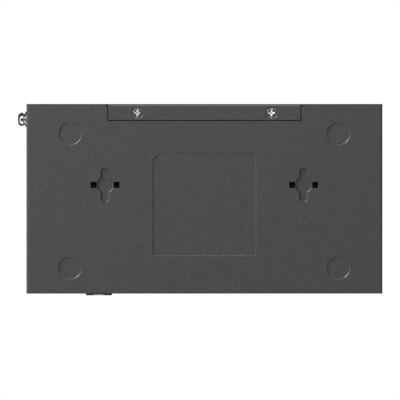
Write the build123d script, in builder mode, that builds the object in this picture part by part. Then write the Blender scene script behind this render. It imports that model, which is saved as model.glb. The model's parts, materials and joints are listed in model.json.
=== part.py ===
from build123d import *
import os

# Ethernet router in a folded steel case. It stands on its underside: +Z is up, the ports face -Y,
# and the origin is the middle of the underside. All sizes are in millimetres.

# Case sheet metal
case_width = 202.0
case_depth = 107.6
case_height = 28.0
sheet = 0.8
bend_inside = 0.45
bend_outside = bend_inside + sheet
lid_gap = 0.1
lid_lift = 0.3
wall_drop = 0.6
seam = 0.2
lid_flange = 6.0
corner_relief = 4.0

# Rear flap of the cover and the stepped ledge behind it
flap_width = 108.9
flap_depth = 9.1
flap_gap = 0.6
relief_radius = 0.6
relief_inset = 0.6
relief_lift = 0.1
relief_depth = 2.0
end_relief_radius = 0.5
end_relief_offset = 0.4
end_relief_inset = 0.9
notch_round = 0.3

# Screws that hold the cover
cover_screw_spacing = 76.1
cover_screw_inset = 5.1
cup_depth = 1.5
cup_mouth_radius = 3.5
cup_slope = 0.62
cup_flare_depth = 0.65
cup_rounding = 0.2
cup_wall = 0.6
m3_radius = 1.5
m3_clearance = 0.1
thread_clearance = 0.05
m3_head_radius = 2.75
m3_head_height = 1.35
m3_head_round = 0.35
cover_screw_length = 4.8
collar_radius = 2.5
collar_height = 1.2
recess_arm = 3.6
recess_width = 1.0
recess_depth = 1.1
recess_taper = 12
screw_point = 0.5

# Pressings in the floor
bumper_side_inset = 24.95
bumper_front_inset = 14.8
bumper_rear_inset = 16.7
bumper_radius = 6.65
bumper_depth = 0.4
press_slope = 0.4
plate_side = 58.7
plate_corner = 4.1
plate_middle_y = -2.95
plate_depth = 0.3
plate_taper = 45
keyhole_spacing = 112.6
keyhole_y = 7.85
keyhole_radius = 4.85
keyhole_length = 19.8
keyhole_lobe = 5.0
keyhole_depth = 0.9
keyhole_taper = 32
press_wall = 0.7
window_width = 3.35
window_height = 3.5

# Air slots in the side walls
slot_count = 13
slot_pitch = 4.2
slot_width = 1.8
slot_length = 12.0
slot_middle_y = -6.0

# Ground screw on the side wall
ground_rear_inset = 8.2
m4_radius = 2.0
m4_clearance = 0.15
ground_washer_radius = 4.8
ground_washer_thickness = 1.0
lock_washer_radius = 4.4
lock_washer_rim = 0.2
lock_washer_top_radius = 2.7
lock_washer_thickness = 1.7
m4_head_radius = 3.8
m4_head_height = 3.1
m4_head_round = 2.2
ground_screw_length = 8.0
m4_recess_arm = 4.4
m4_recess_width = 1.0
m4_recess_depth = 1.5
washer_round = 0.2
ground_nut_radius = 4.2
ground_nut_height = 3.2

# Circuit board and its pillars
board_height = 4.2
board_thickness = 1.6
board_side_gap = 7.2
board_front_gap = 1.4
board_rear_gap = 1.4
board_notch_width = 13.0
board_notch_depth = 9.0
pillar_radius = 3.0
pillar_side_inset = 5.0
pillar_front_inset = 9.6
pillar_rear_inset = 18.6
pillar_middle_inset = 13.6
board_screw_length = 5.2
board_head_height = 1.8
board_head_round = 0.6

# Shielded network sockets
port_pitch = 13.97
port_block_side = 0.8
port_block_height = 13.4
port_block_depth = 21.4
port_setback = 0.1
shield_wall = 0.3
port_width = 11.7
port_height = 6.9
port_roof_drop = 2.4
latch_wide = 6.2
latch_wide_drop = 1.5
latch_narrow = 3.4
latch_narrow_drop = 2.8
port_cavity_depth = 14.0
port_face_gap = 0.15
contact_count = 8
contact_pitch = 1.02
contact_width = 0.4
contact_thickness = 0.3
contact_fall = 2.35
contact_start = 1.5
contact_flat = 1.5
lamp_width = 2.6
lamp_height = 1.2
lamp_depth = 9.0
lamp_offset = 4.3
lamp_drop = 1.35
lan_ports = 4
lan_x = 0.0
wan_side_inset = 51.0
port_opening_gap = 0.2

# Cage for a pluggable optical module
cage_side_inset = 40.75
cage_width = 14.1
cage_height = 9.8
cage_length = 48.7
cage_wall = 0.3
cage_proud = 1.2
cage_finger = 0.2
cage_finger_length = 3.2
cage_finger_slot = 0.6
cage_finger_pitch = 2.4
cage_wide_slots = 6
cage_high_slots = 4
cage_opening_gap = 0.3
cage_gap = 0.2
cage_tab_width = 5.4
cage_tab_drop = 0.5
cage_tab_length = 1.9
cage_tab_curl = 0.65
cage_tab_curl_rise = 0.35
cage_connector_width = 12.0
cage_connector_height = 5.2
cage_connector_depth = 8.6
cage_connector_inset = 4.0
cage_connector_round = 0.4
card_slot_width = 9.2
card_slot_height = 1.2
card_slot_depth = 5.0
card_slot_rise = 3.1

# Status lamps and light pipes
lamp_count = 5
status_pitch = 4.2
status_side_inset = 17.0
status_rise = 6.4
pipe_radius = 1.0
pipe_bend = 2.5
pipe_hole_gap = 0.15
pipe_reach = 7.0
pipe_bar_inset = 3.6
pipe_bar_width = 1.6
pipe_bar_height = 2.4
pipe_leg = 1.8
led_length = 1.6
led_width = 0.9
led_height = 0.8
led_gap = 0.2

# Recessed reset switch
reset_side_inset = 33.0
reset_rise = 1.8
reset_hole_radius = 1.1
reset_body_width = 7.0
reset_body_depth = 3.6
reset_body_height = 3.6
reset_body_edge = 0.3
reset_inset = 5.3
reset_front_wall = 0.8
reset_stem_radius = 0.9
reset_stem_clearance = 0.08
reset_stem_proud = 0.9
reset_stem_round = 0.2
reset_collar_radius = 1.3
reset_collar_length = 0.8
reset_collar_gap = 0.05
reset_chamber_clearance = 0.15
reset_travel = 0.3
reset_end_gap = 0.35

# Power inlet and lock slot in the rear wall
power_side_inset = 29.0
power_width = 9.0
power_length = 14.4
power_height = 11.0
power_setback = 0.2
power_corner = 0.8
power_axis_rise = 6.4
power_bore_radius = 3.15
power_bore_depth = 9.5
power_bore_lead = 0.4
power_pin_radius = 1.05
power_pin_stub_radius = 0.9
power_pin_stub = 2.0
power_pin_gap = 0.5
power_pin_round = 0.4
power_opening_gap = 0.2
lock_side_inset = 21.0
lock_width = 7.0
lock_height = 3.0
lock_corner = 0.6

# Electronics on the board. A spot is the middle of a piece in X and Y, a step its way from the power inlet.
chip_edge = 0.2
processor_spot = (-20.0, 8.0)
processor_side = 17.0
processor_height = 1.4
pad_side = 16.0
pad_height = 0.5
sink_side = 30.0
sink_height = 10.0
sink_base = 2.2
sink_fin = 1.2
sink_fins = 9
switch_x = 12.0
switch_gap = 5.3
switch_side = 14.0
switch_height = 1.6
memory_spots = [(-50.0, 0.0), (-50.0, 17.0)]
memory_size = (9.0, 13.0, 1.2)
flash_spot = (12.0, 20.0)
flash_size = (5.3, 8.0, 2.0)
magnetics_side_gap = 1.27
magnetics_depth = 9.4
magnetics_height = 4.2
magnetics_gap = 3.6
inductor_count = 2
inductor_rear_inset = 24.6
inductor_pitch = 12.0
inductor_side = 7.3
inductor_corner = 1.5
inductor_height = 4.0
capacitor_steps = [(16.0, 7.6), (16.0, 18.6), (-12.0, 35.6)]
capacitor_radius = 4.0
capacitor_height = 11.5
capacitor_round = 0.6
crystal_spot = (32.0, 4.0)
crystal_size = (11.4, 4.7, 3.6)
crystal_round = 0.4
header_spot = (38.0, 26.0)
header_pins = 4
header_pitch = 2.54
header_base = 2.5
header_pin = 0.64
header_pin_height = 8.5

# Reach used to pick an edge by its place
pick = 0.01

# Places worked out from the sizes above
half_width = case_width / 2
half_depth = case_depth / 2
front_face = -half_depth
wall_top = case_height - wall_drop
wall_middle = case_height / 2
lid_half_width = half_width - sheet - lid_gap
lid_front = front_face + sheet + lid_gap
flap_front = half_depth - flap_depth
notch_width = flap_width + 2 * flap_gap
notch_front = flap_front - flap_gap
relief_x = notch_width / 2 - relief_inset
relief_y = notch_front + relief_lift
end_relief_x = notch_width / 2 + end_relief_offset
end_relief_y = half_depth - end_relief_inset
screw_y = half_depth - cover_screw_inset
cup_floor_radius = cup_mouth_radius - cup_slope
ledge_bottom = cup_depth + sheet
ledge_top = ledge_bottom + sheet
ledge_rear = half_depth - sheet - bend_inside - lid_gap
board_bottom = sheet + board_height
board_top = board_bottom + board_thickness
board_front = front_face + sheet + board_front_gap
board_rear = half_depth - sheet - board_rear_gap
board_half_width = half_width - sheet - board_side_gap
pillar_x = board_half_width - pillar_side_inset
bumper_x = half_width - bumper_side_inset
bumper_front = front_face + bumper_front_inset
bumper_rear = half_depth - bumper_rear_inset
ground_y = half_depth - ground_rear_inset
wan_x = wan_side_inset - half_width
cage_x = half_width - cage_side_inset
status_x = status_side_inset - half_width
status_z = board_top + status_rise
reset_x = reset_side_inset - half_width
power_x = power_side_inset - half_width
lock_x = half_width - lock_side_inset
port_front = front_face + port_setback
port_roof_z = board_top + port_block_height - port_roof_drop
port_floor_z = port_roof_z - port_height
lamp_z = board_top + port_block_height - lamp_drop
port_back = port_front + port_cavity_depth
cage_front = front_face - cage_proud
cage_back = cage_front + cage_length
pipe_back_y = front_face + pipe_reach
pipe_bar_y = front_face + pipe_bar_inset
reset_z = board_top + reset_rise
reset_front_y = front_face + reset_inset
power_rear = half_depth - power_setback
power_z = board_top + power_axis_rise
pillar_spots = [
    (-pillar_x, board_front + pillar_front_inset),
    (pillar_x, board_front + pillar_front_inset),
    (-pillar_x, board_rear - pillar_rear_inset),
    (pillar_x, board_rear - pillar_rear_inset),
    (0.0, board_rear - pillar_middle_inset),
]
bumper_spots = [(x, y) for x in (-bumper_x, bumper_x) for y in (bumper_front, bumper_rear)]
inductor_spots = [
    (power_x, board_rear - inductor_rear_inset - n * inductor_pitch) for n in range(inductor_count)
]
capacitor_spots = [(power_x + across, board_rear - step) for across, step in capacitor_steps]
magnetics_y = port_front + port_block_depth + magnetics_gap + magnetics_depth / 2
magnetics_size = (port_pitch - magnetics_side_gap, magnetics_depth, magnetics_height)
switch_spot = (switch_x, magnetics_y + (magnetics_depth + switch_side) / 2 + switch_gap)
status_spots = [status_x + status_pitch * (n - (lamp_count - 1) / 2) for n in range(lamp_count)]
front_plane = Plane.XZ.offset(half_depth)
rear_plane = Plane.XZ.offset(-half_depth)
low = (Align.CENTER, Align.CENTER, Align.MIN)


def block_width(ports):
    """Width over the shield of a block with this many ports."""
    return ports * port_pitch + 2 * port_block_side


def port_centres(middle, ports):
    """X of each port in a block."""
    return [middle + port_pitch * (n - (ports - 1) / 2) for n in range(ports)]


# Inside of the folded tray, with its small inner bend
with BuildPart() as tray_cavity:
    with BuildSketch(Plane.XY.offset(sheet)):
        with Locations((0, sheet)):
            Rectangle(case_width - 2 * sheet, case_depth)
    extrude(amount=case_height)
    cavity_floor = tray_cavity.edges().group_by(Axis.Z)[0]
    fillet(cavity_floor.filter_by(Axis.Y) + cavity_floor.sort_by(Axis.Y)[:1], radius=bend_inside)

# Bottom tray: one sheet folded up on the left, the right and the front
with BuildPart() as bottom_tray:
    with BuildSketch():
        Rectangle(case_width, case_depth)
    extrude(amount=wall_top)
    outer_floor = bottom_tray.edges().group_by(Axis.Z)[0]
    fillet(outer_floor.filter_by(Axis.Y) + outer_floor.sort_by(Axis.Y)[:1], radius=bend_outside)
    add(tray_cavity.part, mode=Mode.SUBTRACT)

    # Hairline seams where the front wall meets the side walls
    with BuildSketch(front_plane):
        with Locations(
            (-half_width + sheet + seam / 2, bend_outside),
            (half_width - sheet - seam / 2, bend_outside),
        ):
            Rectangle(seam, case_height, align=(Align.CENTER, Align.MIN))
    extrude(amount=-sheet, mode=Mode.SUBTRACT)

    # Notch for the cover's flap, with relief holes where its ends meet the rear bend
    with BuildSketch():
        with Locations((0, half_depth)):
            Rectangle(notch_width, 2 * (half_depth - notch_front))
    extrude(amount=sheet, mode=Mode.SUBTRACT)
    notch_corners = bottom_tray.edges().filter_by(Axis.Z).filter_by_position(Axis.Z, 0, sheet)
    notch_corners = notch_corners.filter_by_position(Axis.Y, half_depth - pick, half_depth + pick)
    notch_corners = notch_corners.filter_by_position(Axis.X, -notch_width / 2 - pick, notch_width / 2 + pick)
    fillet(notch_corners, radius=notch_round)
    with BuildSketch():
        with Locations((-end_relief_x, end_relief_y), (end_relief_x, end_relief_y)):
            Circle(end_relief_radius)
    extrude(amount=sheet, mode=Mode.SUBTRACT)

    # Ledge stepped up behind the notch, high enough to seat the flap's cups
    with BuildSketch(Plane.XY.offset(sheet)):
        with Locations((0, notch_front - sheet)):
            Rectangle(
                notch_width + 2 * sheet,
                ledge_rear - notch_front + sheet,
                align=(Align.CENTER, Align.MIN),
            )
    extrude(amount=ledge_bottom)
    ledge_rim = bottom_tray.edges().filter_by_position(Axis.Z, ledge_top - pick, ledge_top + pick)
    fillet(ledge_rim.sort_by(Axis.Y)[:-1], radius=bend_outside)
    with BuildSketch(Plane.XY.offset(sheet)):
        with Locations((0, notch_front)):
            Rectangle(notch_width, half_depth - notch_front, align=(Align.CENTER, Align.MIN))
    extrude(amount=ledge_bottom - sheet, mode=Mode.SUBTRACT)

    # Relief holes at the notch's inner corners, into the foot of the ledge
    with BuildSketch():
        with Locations((-relief_x, relief_y), (relief_x, relief_y)):
            Circle(relief_radius)
    extrude(amount=relief_depth, mode=Mode.SUBTRACT)

    # Threaded collars in the ledge
    with Locations((-cover_screw_spacing / 2, screw_y), (cover_screw_spacing / 2, screw_y)):
        with Locations((0, 0, ledge_top)):
            Cylinder(collar_radius, collar_height, align=low)
        with Locations((0, 0, ledge_bottom)):
            Cylinder(
                m3_radius + thread_clearance,
                sheet + collar_height,
                align=low,
                mode=Mode.SUBTRACT,
            )

    # Four shallow round recesses for bumpers, pressed through as pads inside
    with Locations(*bumper_spots):
        with Locations((0, 0, sheet)):
            Cylinder(bumper_radius, bumper_depth, align=low)
        Cone(
            bumper_radius,
            bumper_radius - press_slope,
            bumper_depth,
            align=low,
            mode=Mode.SUBTRACT,
        )

    # Shallow square recess with one cut corner
    with BuildSketch(Plane.XY) as plate_outline:
        with Locations((0, plate_middle_y)):
            plate = Rectangle(plate_side, plate_side)
        chamfer(plate.vertices().group_by(Axis.Y)[-1].sort_by(Axis.X)[-1:], plate_corner)
    with BuildSketch(Plane.XY.offset(sheet)):
        add(plate_outline.sketch)
    extrude(amount=plate_depth)
    with BuildSketch(Plane.XY):
        add(plate_outline.sketch)
    extrude(amount=plate_depth, taper=plate_taper, mode=Mode.SUBTRACT)

    # Wall-hanging keyholes pressed in without breaking through, with a window at each side
    with BuildSketch(Plane.XY) as keyhole_outline:
        with Locations((-keyhole_spacing / 2, keyhole_y), (keyhole_spacing / 2, keyhole_y)):
            Circle(keyhole_radius)
            SlotOverall(keyhole_length, keyhole_lobe, rotation=90)
    with BuildSketch(Plane.XY.offset(sheet)):
        offset(keyhole_outline.sketch, amount=press_wall)
    extrude(amount=keyhole_depth)
    with BuildSketch(Plane.XY):
        add(keyhole_outline.sketch)
    extrude(amount=keyhole_depth, taper=keyhole_taper, mode=Mode.SUBTRACT)
    with BuildSketch(Plane.XY):
        with Locations((-keyhole_spacing / 2, keyhole_y), (keyhole_spacing / 2, keyhole_y)):
            with GridLocations(2 * keyhole_radius + window_width, 0, 2, 1):
                Rectangle(window_width, window_height)
    extrude(amount=sheet + keyhole_depth, mode=Mode.SUBTRACT)

    # Air slots in both side walls
    with BuildSketch(Plane.YZ):
        with Locations((slot_middle_y, wall_middle)):
            with GridLocations(slot_pitch, 0, slot_count, 1):
                SlotOverall(slot_length, slot_width, rotation=90)
    extrude(amount=half_width, both=True, mode=Mode.SUBTRACT)

    # Hole for the ground screw
    with BuildSketch(Plane.YZ.offset(half_width)):
        with Locations((ground_y, wall_middle)):
            Circle(m4_radius + m4_clearance)
    extrude(amount=-sheet, mode=Mode.SUBTRACT)

    # Openings in the front wall
    with BuildSketch(front_plane):
        for middle, ports in ((lan_x, lan_ports), (wan_x, 1)):
            with Locations((middle, board_top + port_block_height / 2)):
                Rectangle(
                    block_width(ports) + 2 * port_opening_gap,
                    port_block_height + 2 * port_opening_gap,
                )
        with Locations((cage_x, board_top + cage_height / 2)):
            Rectangle(
                cage_width + 2 * cage_finger + 2 * cage_opening_gap,
                cage_height + 2 * cage_tab_drop + 2 * cage_opening_gap,
            )
        with Locations(*[(x, status_z) for x in status_spots]):
            Circle(pipe_radius + pipe_hole_gap)
        with Locations((reset_x, reset_z)):
            Circle(reset_hole_radius)
    extrude(amount=-sheet, mode=Mode.SUBTRACT)

# Room inside the cover
with BuildPart() as lid_cavity:
    with BuildSketch():
        with Locations((0, lid_front + sheet)):
            Rectangle(
                2 * (lid_half_width - sheet),
                half_depth - lid_front - 2 * sheet,
                align=(Align.CENTER, Align.MIN),
            )
    extrude(amount=case_height - sheet)
    fillet(lid_cavity.edges().group_by(Axis.Z)[-1], radius=bend_inside)

# Top cover: top, short inner flanges, rear wall and the flap that turns in under the tray
with BuildPart() as top_cover:
    with BuildSketch():
        with Locations((0, lid_front)):
            Rectangle(2 * lid_half_width, half_depth - lid_front, align=(Align.CENTER, Align.MIN))
    extrude(amount=case_height)
    fillet(top_cover.edges().group_by(Axis.Z)[-1], radius=bend_outside)
    add(lid_cavity.part, mode=Mode.SUBTRACT)

    # Flanges are short on three sides, and the rear wall stops above the tray floor
    with BuildSketch():
        with Locations((0, -sheet)):
            Rectangle(case_width, case_depth)
    extrude(amount=case_height - lid_flange, mode=Mode.SUBTRACT)
    with BuildSketch():
        with Locations((0, half_depth)):
            Rectangle(case_width, 2 * sheet)
    extrude(amount=sheet + lid_lift, mode=Mode.SUBTRACT)

    # Open corners between the flanges
    with BuildSketch(Plane.XY.offset(case_height - lid_flange)):
        with Locations(
            (-lid_half_width, lid_front),
            (lid_half_width, lid_front),
            (-lid_half_width, half_depth - sheet - corner_relief / 2),
            (lid_half_width, half_depth - sheet - corner_relief / 2),
        ):
            Rectangle(corner_relief, corner_relief)
    extrude(amount=lid_flange - bend_outside, mode=Mode.SUBTRACT)

    # Rear flap, folded in from the rear wall
    with BuildSketch(Plane.YZ):
        with BuildLine():
            Polyline(
                (half_depth, sheet + lid_lift),
                (half_depth, 0),
                (flap_front, 0),
                (flap_front, sheet),
                (half_depth - sheet, sheet),
                (half_depth - sheet, sheet + lid_lift),
                close=True,
            )
        make_face()
    extrude(amount=flap_width / 2, both=True)
    flap_edges = top_cover.edges().filter_by(Axis.X).group_by(Axis.Z)[0]
    fillet(flap_edges.sort_by(Axis.Y)[-1:], radius=bend_outside)
    flap_bend = top_cover.edges().filter_by(Axis.X)
    flap_bend = flap_bend.filter_by_position(Axis.Z, sheet - pick, sheet + pick)
    fillet(flap_bend.sort_by(Axis.Y)[-1:], radius=bend_inside)

    # Cups for the screw heads, pressed into the flap
    with Locations((-cover_screw_spacing / 2, screw_y), (cover_screw_spacing / 2, screw_y)):
        with Locations((0, 0, sheet)):
            Cone(cup_mouth_radius + cup_wall, cup_floor_radius + cup_wall, cup_depth, align=low)
        Cone(cup_mouth_radius, cup_floor_radius, cup_flare_depth, align=low, mode=Mode.SUBTRACT)
        Cylinder(cup_floor_radius, cup_depth, align=low, mode=Mode.SUBTRACT)
        Cylinder(m3_radius + m3_clearance, cup_depth + sheet, align=low, mode=Mode.SUBTRACT)
    cup_mouths = top_cover.edges().filter_by(GeomType.CIRCLE).group_by(Axis.Z)[0]
    fillet(cup_mouths, radius=cup_rounding)

    # Openings in the rear wall
    with BuildSketch(rear_plane):
        with Locations((power_x, board_top + power_height / 2)):
            Rectangle(power_width + 2 * power_opening_gap, power_height + 2 * power_opening_gap)
        with Locations((lock_x, wall_middle)):
            RectangleRounded(lock_width, lock_height, lock_corner)
    extrude(amount=sheet, mode=Mode.SUBTRACT)

# Screw that holds the cover, head down in a cup of the flap
head_bottom = cup_depth - m3_head_height
with BuildPart() as cover_screw:
    with BuildSketch(Plane.XZ):
        with BuildLine():
            Polyline(
                (0, head_bottom),
                (m3_head_radius, head_bottom),
                (m3_head_radius, cup_depth),
                (m3_radius, cup_depth),
                (m3_radius, cup_depth + cover_screw_length - screw_point),
                (m3_radius - screw_point, cup_depth + cover_screw_length),
                (0, cup_depth + cover_screw_length),
                close=True,
            )
        make_face()
    revolve(axis=Axis.Z)
    fillet(cover_screw.edges().filter_by(GeomType.CIRCLE).group_by(Axis.Z)[0], radius=m3_head_round)
    with BuildSketch(Plane.XY.offset(head_bottom)):
        Rectangle(recess_arm, recess_width)
        Rectangle(recess_width, recess_arm)
    extrude(amount=recess_depth, taper=recess_taper, mode=Mode.SUBTRACT)

with BuildPart() as cover_screws:
    with Locations((-cover_screw_spacing / 2, screw_y), (cover_screw_spacing / 2, screw_y)):
        add(cover_screw.part)

# Ground screw with its two washers, along X out of the side wall
washer_out = half_width + ground_washer_thickness
lock_out = washer_out + lock_washer_thickness
ground_tip = lock_out - ground_screw_length
with BuildPart() as ground_screw:
    with BuildSketch(Plane.XY):
        with BuildLine():
            Polyline(
                (lock_out + m4_head_height, 0),
                (lock_out + m4_head_height, m4_head_radius),
                (lock_out, m4_head_radius),
                (lock_out, m4_radius),
                (ground_tip + screw_point, m4_radius),
                (ground_tip, m4_radius - screw_point),
                (ground_tip, 0),
                close=True,
            )
        make_face()
    revolve(axis=Axis.X)
    fillet(ground_screw.edges().filter_by(GeomType.CIRCLE).group_by(Axis.X)[-1], radius=m4_head_round)
    with BuildSketch(Plane.YZ.offset(lock_out + m4_head_height)):
        Rectangle(m4_recess_arm, m4_recess_width)
        Rectangle(m4_recess_width, m4_recess_arm)
    extrude(amount=-m4_recess_depth, taper=recess_taper, mode=Mode.SUBTRACT)

ground_plane = Plane.YZ.offset(half_width)
with BuildPart() as ground_washer:
    with BuildSketch(ground_plane):
        with Locations((ground_y, wall_middle)):
            Circle(ground_washer_radius)
            Circle(m4_radius + m4_clearance, mode=Mode.SUBTRACT)
    extrude(amount=ground_washer_thickness)
    fillet(ground_washer.edges().group_by(Axis.X)[-1].sort_by(Edge.length)[-1:], radius=washer_round)

# The lock washer is a cone that the head presses flat
with BuildPart() as ground_lock_washer:
    with BuildSketch(Plane.XY):
        with BuildLine():
            Polyline(
                (washer_out, m4_radius + m4_clearance),
                (washer_out, lock_washer_radius),
                (washer_out + lock_washer_rim, lock_washer_radius),
                (lock_out, lock_washer_top_radius),
                (lock_out, m4_radius + m4_clearance),
                close=True,
            )
        make_face()
    revolve(axis=Axis.X)

# Clinched nut on the inside of the wall
with BuildPart() as ground_nut:
    with BuildSketch(ground_plane.offset(-sheet)):
        with Locations((ground_y, wall_middle)):
            RegularPolygon(ground_nut_radius, 6)
            Circle(m4_radius + thread_clearance, mode=Mode.SUBTRACT)
    extrude(amount=-ground_nut_height)

# Circuit board, notched clear of the cover screws
with BuildPart() as main_board:
    with BuildSketch(Plane.XY.offset(board_bottom)):
        with Locations((0, board_front)):
            Rectangle(2 * board_half_width, board_rear - board_front, align=(Align.CENTER, Align.MIN))
        with Locations((-cover_screw_spacing / 2, board_rear), (cover_screw_spacing / 2, board_rear)):
            Rectangle(board_notch_width, 2 * board_notch_depth, mode=Mode.SUBTRACT)
        with Locations(*pillar_spots):
            Circle(m3_radius + m3_clearance, mode=Mode.SUBTRACT)
    extrude(amount=board_thickness)

# Threaded pillars welded to the tray floor
with BuildPart() as board_standoffs:
    with BuildSketch(Plane.XY.offset(sheet)):
        with Locations(*pillar_spots):
            RegularPolygon(pillar_radius, 6)
            Circle(m3_radius + thread_clearance, mode=Mode.SUBTRACT)
    extrude(amount=board_height)

with BuildPart() as board_screws:
    with Locations(*[(x, y, board_top) for x, y in pillar_spots]):
        Cylinder(m3_head_radius, board_head_height, align=low)
    fillet(board_screws.faces().group_by(Axis.Z)[-1].edges(), radius=board_head_round)
    with Locations(*[(x, y, board_top) for x, y in pillar_spots]):
        Cylinder(m3_radius, board_screw_length, align=(Align.CENTER, Align.CENTER, Align.MAX))
    with BuildSketch(Plane.XY.offset(board_top + board_head_height)):
        with Locations(*pillar_spots):
            Rectangle(recess_arm, recess_width)
            Rectangle(recess_width, recess_arm)
    extrude(amount=-recess_depth, mode=Mode.SUBTRACT)


def make_shield(middle, ports):
    """Folded metal shield of one block of ports: closed but for its underside and the ports."""
    width = block_width(ports)
    with BuildPart() as shield:
        with BuildSketch(Plane.XY.offset(board_top)):
            with Locations((middle, port_front)):
                Rectangle(width, port_block_depth, align=(Align.CENTER, Align.MIN))
        extrude(amount=port_block_height)
        with BuildSketch(Plane.XY.offset(board_top)):
            with Locations((middle, port_front + shield_wall)):
                Rectangle(
                    width - 2 * shield_wall,
                    port_block_depth - 2 * shield_wall,
                    align=(Align.CENTER, Align.MIN),
                )
        extrude(amount=port_block_height - shield_wall, mode=Mode.SUBTRACT)
        face_height = port_height + latch_narrow_drop + 2 * port_face_gap
        with BuildSketch(Plane.XZ.offset(-port_front)):
            for x in port_centres(middle, ports):
                with Locations((x, port_floor_z - latch_narrow_drop - port_face_gap)):
                    Rectangle(
                        port_width + 2 * port_face_gap,
                        face_height,
                        align=(Align.CENTER, Align.MIN),
                    )
                with Locations((x - lamp_offset, lamp_z), (x + lamp_offset, lamp_z)):
                    Rectangle(lamp_width, lamp_height)
        extrude(amount=-shield_wall, mode=Mode.SUBTRACT)
    return shield.part


def make_insert(middle, ports):
    """Moulded insert of one block of ports, with a stepped cavity for each plug and its latch."""
    with BuildPart() as insert:
        with BuildSketch(Plane.XY.offset(board_top)):
            with Locations((middle, port_front + shield_wall)):
                Rectangle(
                    block_width(ports) - 2 * shield_wall,
                    port_block_depth - 2 * shield_wall,
                    align=(Align.CENTER, Align.MIN),
                )
        extrude(amount=port_block_height - shield_wall)
        with BuildSketch(Plane.XZ.offset(-port_front - shield_wall)):
            for x in port_centres(middle, ports):
                with Locations((x, port_floor_z)):
                    Rectangle(port_width, port_height, align=(Align.CENTER, Align.MIN))
                    Rectangle(latch_wide, latch_wide_drop, align=(Align.CENTER, Align.MAX))
                    Rectangle(latch_narrow, latch_narrow_drop, align=(Align.CENTER, Align.MAX))
        extrude(amount=-(port_cavity_depth - shield_wall), mode=Mode.SUBTRACT)
        with BuildSketch(Plane.XZ.offset(-port_front - shield_wall)):
            for x in port_centres(middle, ports):
                with Locations((x - lamp_offset, lamp_z), (x + lamp_offset, lamp_z)):
                    Rectangle(lamp_width, lamp_height)
        extrude(amount=-lamp_depth, mode=Mode.SUBTRACT)
    return insert.part


def make_contacts(middle, ports):
    """Eight sprung wires for each port, from the front of its roof down to its back wall."""
    under = port_roof_z - contact_thickness
    start = port_front + contact_start
    with BuildPart() as contacts:
        for x in port_centres(middle, ports):
            with BuildSketch(Plane.YZ.offset(x - contact_width / 2)):
                with BuildLine():
                    Polyline(
                        (start, port_roof_z),
                        (start + contact_flat, port_roof_z),
                        (port_back, port_roof_z - contact_fall),
                        (port_back, under - contact_fall),
                        (start + contact_flat, under),
                        (start, under),
                        close=True,
                    )
                make_face()
            wire = extrude(amount=contact_width, mode=Mode.PRIVATE)
            with GridLocations(contact_pitch, 0, contact_count, 1):
                add(wire)
    return contacts.part


lan_jack_shield = make_shield(lan_x, lan_ports)
lan_jack_insert = make_insert(lan_x, lan_ports)
lan_jack_contacts = make_contacts(lan_x, lan_ports)
wan_jack_shield = make_shield(wan_x, 1)
wan_jack_insert = make_insert(wan_x, 1)
wan_jack_contacts = make_contacts(wan_x, 1)

# Clear windows in the upper corners of each port
with BuildPart() as port_lights:
    with BuildSketch(Plane.XZ.offset(-port_front)):
        for x in port_centres(lan_x, lan_ports) + port_centres(wan_x, 1):
            with Locations((x - lamp_offset, lamp_z), (x + lamp_offset, lamp_z)):
                Rectangle(lamp_width, lamp_height)
    extrude(amount=-(lamp_depth + shield_wall))

# Cage for a pluggable optical module: a thin box with sprung fingers round its mouth
cage_middle_z = board_top + cage_height / 2
cage_plane = Plane.XZ.offset(-cage_front)
with BuildPart() as sfp_cage:
    with BuildSketch(cage_plane):
        with Locations((cage_x, cage_middle_z)):
            Rectangle(cage_width, cage_height)
    extrude(amount=-cage_length)
    with BuildSketch(cage_plane):
        with Locations((cage_x, cage_middle_z)):
            Rectangle(cage_width - 2 * cage_wall, cage_height - 2 * cage_wall)
    extrude(amount=-(cage_length - cage_wall), mode=Mode.SUBTRACT)

    # Collar of fingers
    with BuildSketch(cage_plane):
        with Locations((cage_x, cage_middle_z)):
            Rectangle(cage_width + 2 * cage_finger, cage_height + 2 * cage_finger)
            Rectangle(cage_width, cage_height, mode=Mode.SUBTRACT)
            with GridLocations(cage_finger_pitch, 0, cage_wide_slots, 1):
                Rectangle(cage_finger_slot, 2 * cage_height, mode=Mode.SUBTRACT)
            with GridLocations(0, cage_finger_pitch, 1, cage_high_slots):
                Rectangle(2 * cage_width, cage_finger_slot, mode=Mode.SUBTRACT)
            Rectangle(cage_tab_width, 2 * cage_height, mode=Mode.SUBTRACT)
    extrude(amount=-cage_finger_length)

    # Sprung tab in the middle of the lower lip, bowed down and curled up at its front end
    tab_low = board_top - cage_tab_drop
    with BuildSketch(Plane.YZ.offset(cage_x)):
        with BuildLine():
            Polyline(
                (cage_front, tab_low + cage_tab_curl_rise),
                (cage_front, tab_low + cage_tab_curl_rise + cage_wall),
                (cage_front + cage_tab_curl, tab_low + cage_wall),
                (cage_front + cage_tab_length, board_top + cage_wall),
                (cage_front + cage_tab_length, board_top),
                (cage_front + cage_tab_curl, tab_low),
                close=True,
            )
        make_face()
    extrude(amount=cage_tab_width / 2, both=True)

    # Open underside over the connector
    with BuildSketch(Plane.XY.offset(board_top)):
        with Locations((cage_x, cage_back - cage_connector_inset + cage_gap)):
            Rectangle(
                cage_connector_width + 2 * cage_gap,
                cage_connector_depth + 2 * cage_gap,
                align=(Align.CENTER, Align.MAX),
            )
    extrude(amount=cage_wall, mode=Mode.SUBTRACT)

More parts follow.
